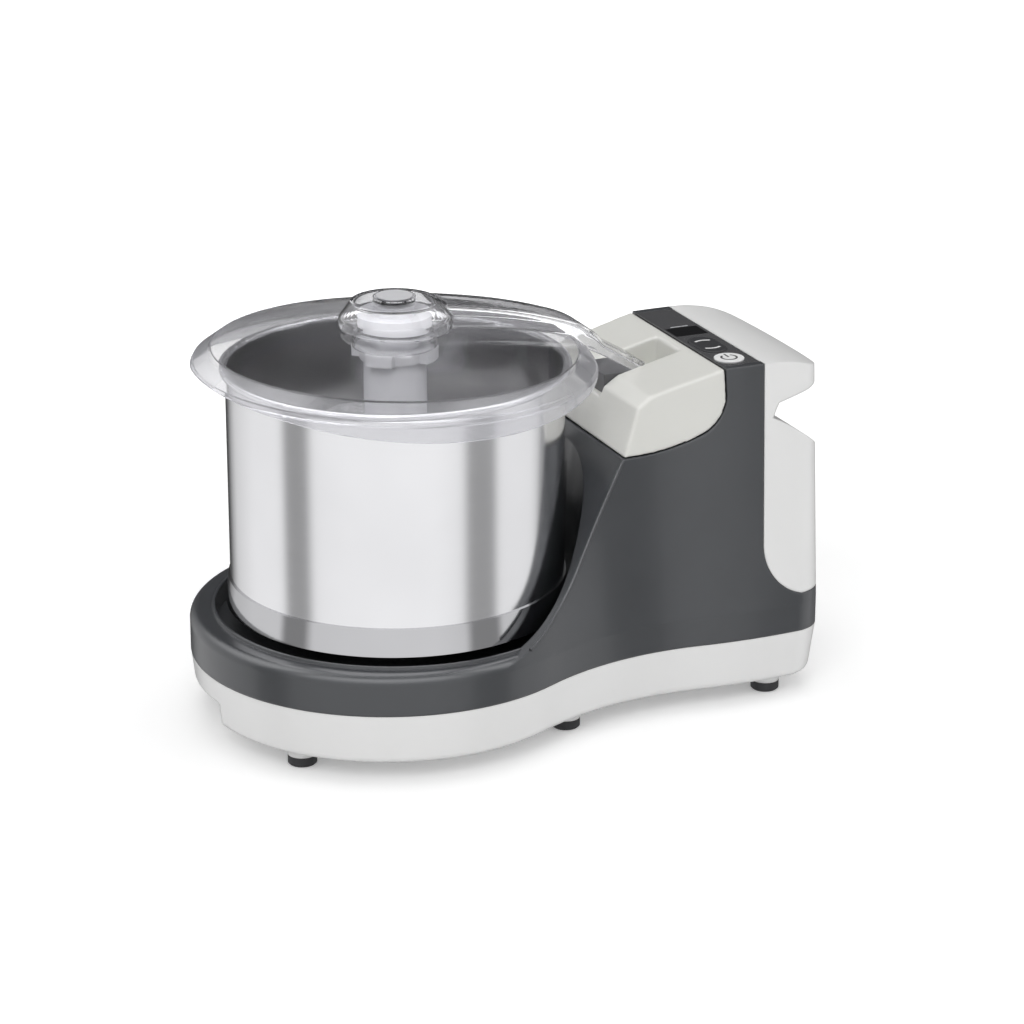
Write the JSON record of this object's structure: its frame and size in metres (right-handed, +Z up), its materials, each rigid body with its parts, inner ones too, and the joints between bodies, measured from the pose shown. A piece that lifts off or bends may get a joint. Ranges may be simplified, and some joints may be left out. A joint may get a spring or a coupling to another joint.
{
  "type": "wet grinder",
  "caption": "Tabletop wet grinder: a steel drum turns under stone rollers in a round base, with a clear lid held by an arm from a motor tower.",
  "frame": {"origin": "on the table, under the middle of the whole part's outline", "axes": "+Z up, +X from the drum to the motor tower, -Y the front side"},
  "size_m": [0.4099, 0.26, 0.2773],
  "materials": {
    "grey_plastic": "satin, slightly metallic",
    "white_plastic": "semi-gloss",
    "warm_white_plastic": "semi-gloss",
    "dark_plastic": "satin",
    "strip_plastic": "gloss",
    "window_plastic": "gloss",
    "button_white": "semi-gloss",
    "button_dark": "satin",
    "rubber": "matt",
    "steel_drum": "satin, brushed round the drum",
    "steel_polished": "polished",
    "steel_plain": "zinc plated",
    "granite": "ground granite",
    "frosted_plastic": "translucent",
    "clear_plastic": "clear, polished",
    "circuit_board": "solder mask",
    "copper_winding": "enamelled copper wire",
    "core_steel": "laminated",
    "cast_bracket": "die cast",
    "bronze": "sintered",
    "capacitor_case": "gloss"
  },
  "bodies": {
    "base": {"main_housing": "grey_plastic", "rear_cover": "white_plastic", "arm_cradle": "warm_white_plastic", "arm_rest": "dark_plastic", "base_skirt": "white_plastic", "bottom_plate": "white_plastic", "rubber_feet": "rubber", "foot_screws": "steel_plain", "chassis_plate": "steel_plain", "chassis_screws": "steel_plain", "casing_screws": "steel_plain", "cord_gland": "rubber", "control_panel": "strip_plastic", "display_window": "window_plastic", "display_module": "dark_plastic", "control_board": "circuit_board", "board_posts": "dark_plastic", "button_domes": "rubber", "drum_bearings": "steel_plain", "bearing_housing": "cast_bracket", "pan_seal": "rubber", "drive_belt": "rubber", "stator_core": "core_steel", "stator_windings": "copper_winding", "motor_bracket_top": "cast_bracket", "motor_bracket_bottom": "cast_bracket", "motor_bearings": "bronze", "motor_bolts": "steel_plain", "run_capacitor": "capacitor_case", "capacitor_clip": "steel_plain", "power_module": "dark_plastic"},
    "drum": {"drum_shell": "steel_drum", "drum_band": "steel_polished", "drum_socket": "dark_plastic", "base_stone": "granite", "centre_tube": "steel_plain", "drum_shaft": "steel_plain", "drive_coupler": "cast_bracket", "drum_bearing_inner_races": "steel_plain", "drum_pulley": "cast_bracket"},
    "motor_rotor": {"rotor": "core_steel", "motor_shaft": "steel_plain", "motor_pulley": "cast_bracket", "cooling_fan": "dark_plastic"},
    "stone_holder": {"stone_column": "frosted_plastic", "roller_axles": "steel_plain", "axle_washers": "steel_plain", "axle_nuts": "steel_plain", "scraper_arm": "frosted_plastic", "scraper_blade": "frosted_plastic"},
    "front_roller": {"roller_stone_front": "granite", "bushes_front": "frosted_plastic"},
    "rear_roller": {"roller_stone_rear": "granite", "bushes_rear": "frosted_plastic"},
    "lid_and_arm": {"lid": "clear_plastic", "lid_arm": "clear_plastic"},
    "knob": {"lock_knob": "clear_plastic", "knob_cap": "frosted_plastic"},
    "power_key": {"power_button": "button_white"},
    "mode_key": {"mode_button": "button_dark"}
  },
  "joints": [
    {"name": "drum_spin", "type": "hinge", "parent": "base", "child": "drum", "pos_m": [-0.06995, 0, 0.085], "axis": [0, 0, 1], "continuous": true},
    {"name": "motor_spin", "type": "hinge", "parent": "base", "child": "motor_rotor", "pos_m": [0.12805, 0, 0.094], "axis": [0, 0, 1], "continuous": true},
    {"name": "holder_lift", "type": "slide", "parent": "base", "child": "stone_holder", "axis": [0, 0, 1], "range_m": [0, 0.15]},
    {"name": "front_roller_spin", "type": "hinge", "parent": "stone_holder", "child": "front_roller", "pos_m": [-0.06995, -0.063, 0.1311], "axis": [0, 1, 0], "continuous": true},
    {"name": "rear_roller_spin", "type": "hinge", "parent": "stone_holder", "child": "rear_roller", "pos_m": [-0.06995, 0.063, 0.1311], "axis": [0, 1, 0], "continuous": true},
    {"name": "lid_lift", "type": "slide", "parent": "stone_holder", "child": "lid_and_arm", "axis": [0, 0, 1], "range_m": [0, 0.06]},
    {"name": "knob_turn", "type": "hinge", "parent": "lid_and_arm", "child": "knob", "pos_m": [-0.06995, 0, 0.274], "axis": [0, 0, 1], "range_deg": [0, 90]},
    {"name": "power_press", "type": "slide", "parent": "base", "child": "power_key", "axis": [0, 0, -1], "range_m": [0, 0.001], "stiffness_N_per_m": 1200},
    {"name": "mode_press", "type": "slide", "parent": "base", "child": "mode_key", "axis": [0, 0, -1], "range_m": [0, 0.001], "stiffness_N_per_m": 1200}
  ],
  "couplings": [
    {"joint": "motor_spin", "follows": "drum_spin", "ratio": 5},
    {"joint": "front_roller_spin", "follows": "drum_spin", "ratio": -1.6195},
    {"joint": "rear_roller_spin", "follows": "drum_spin", "ratio": 1.6195}
  ]
}
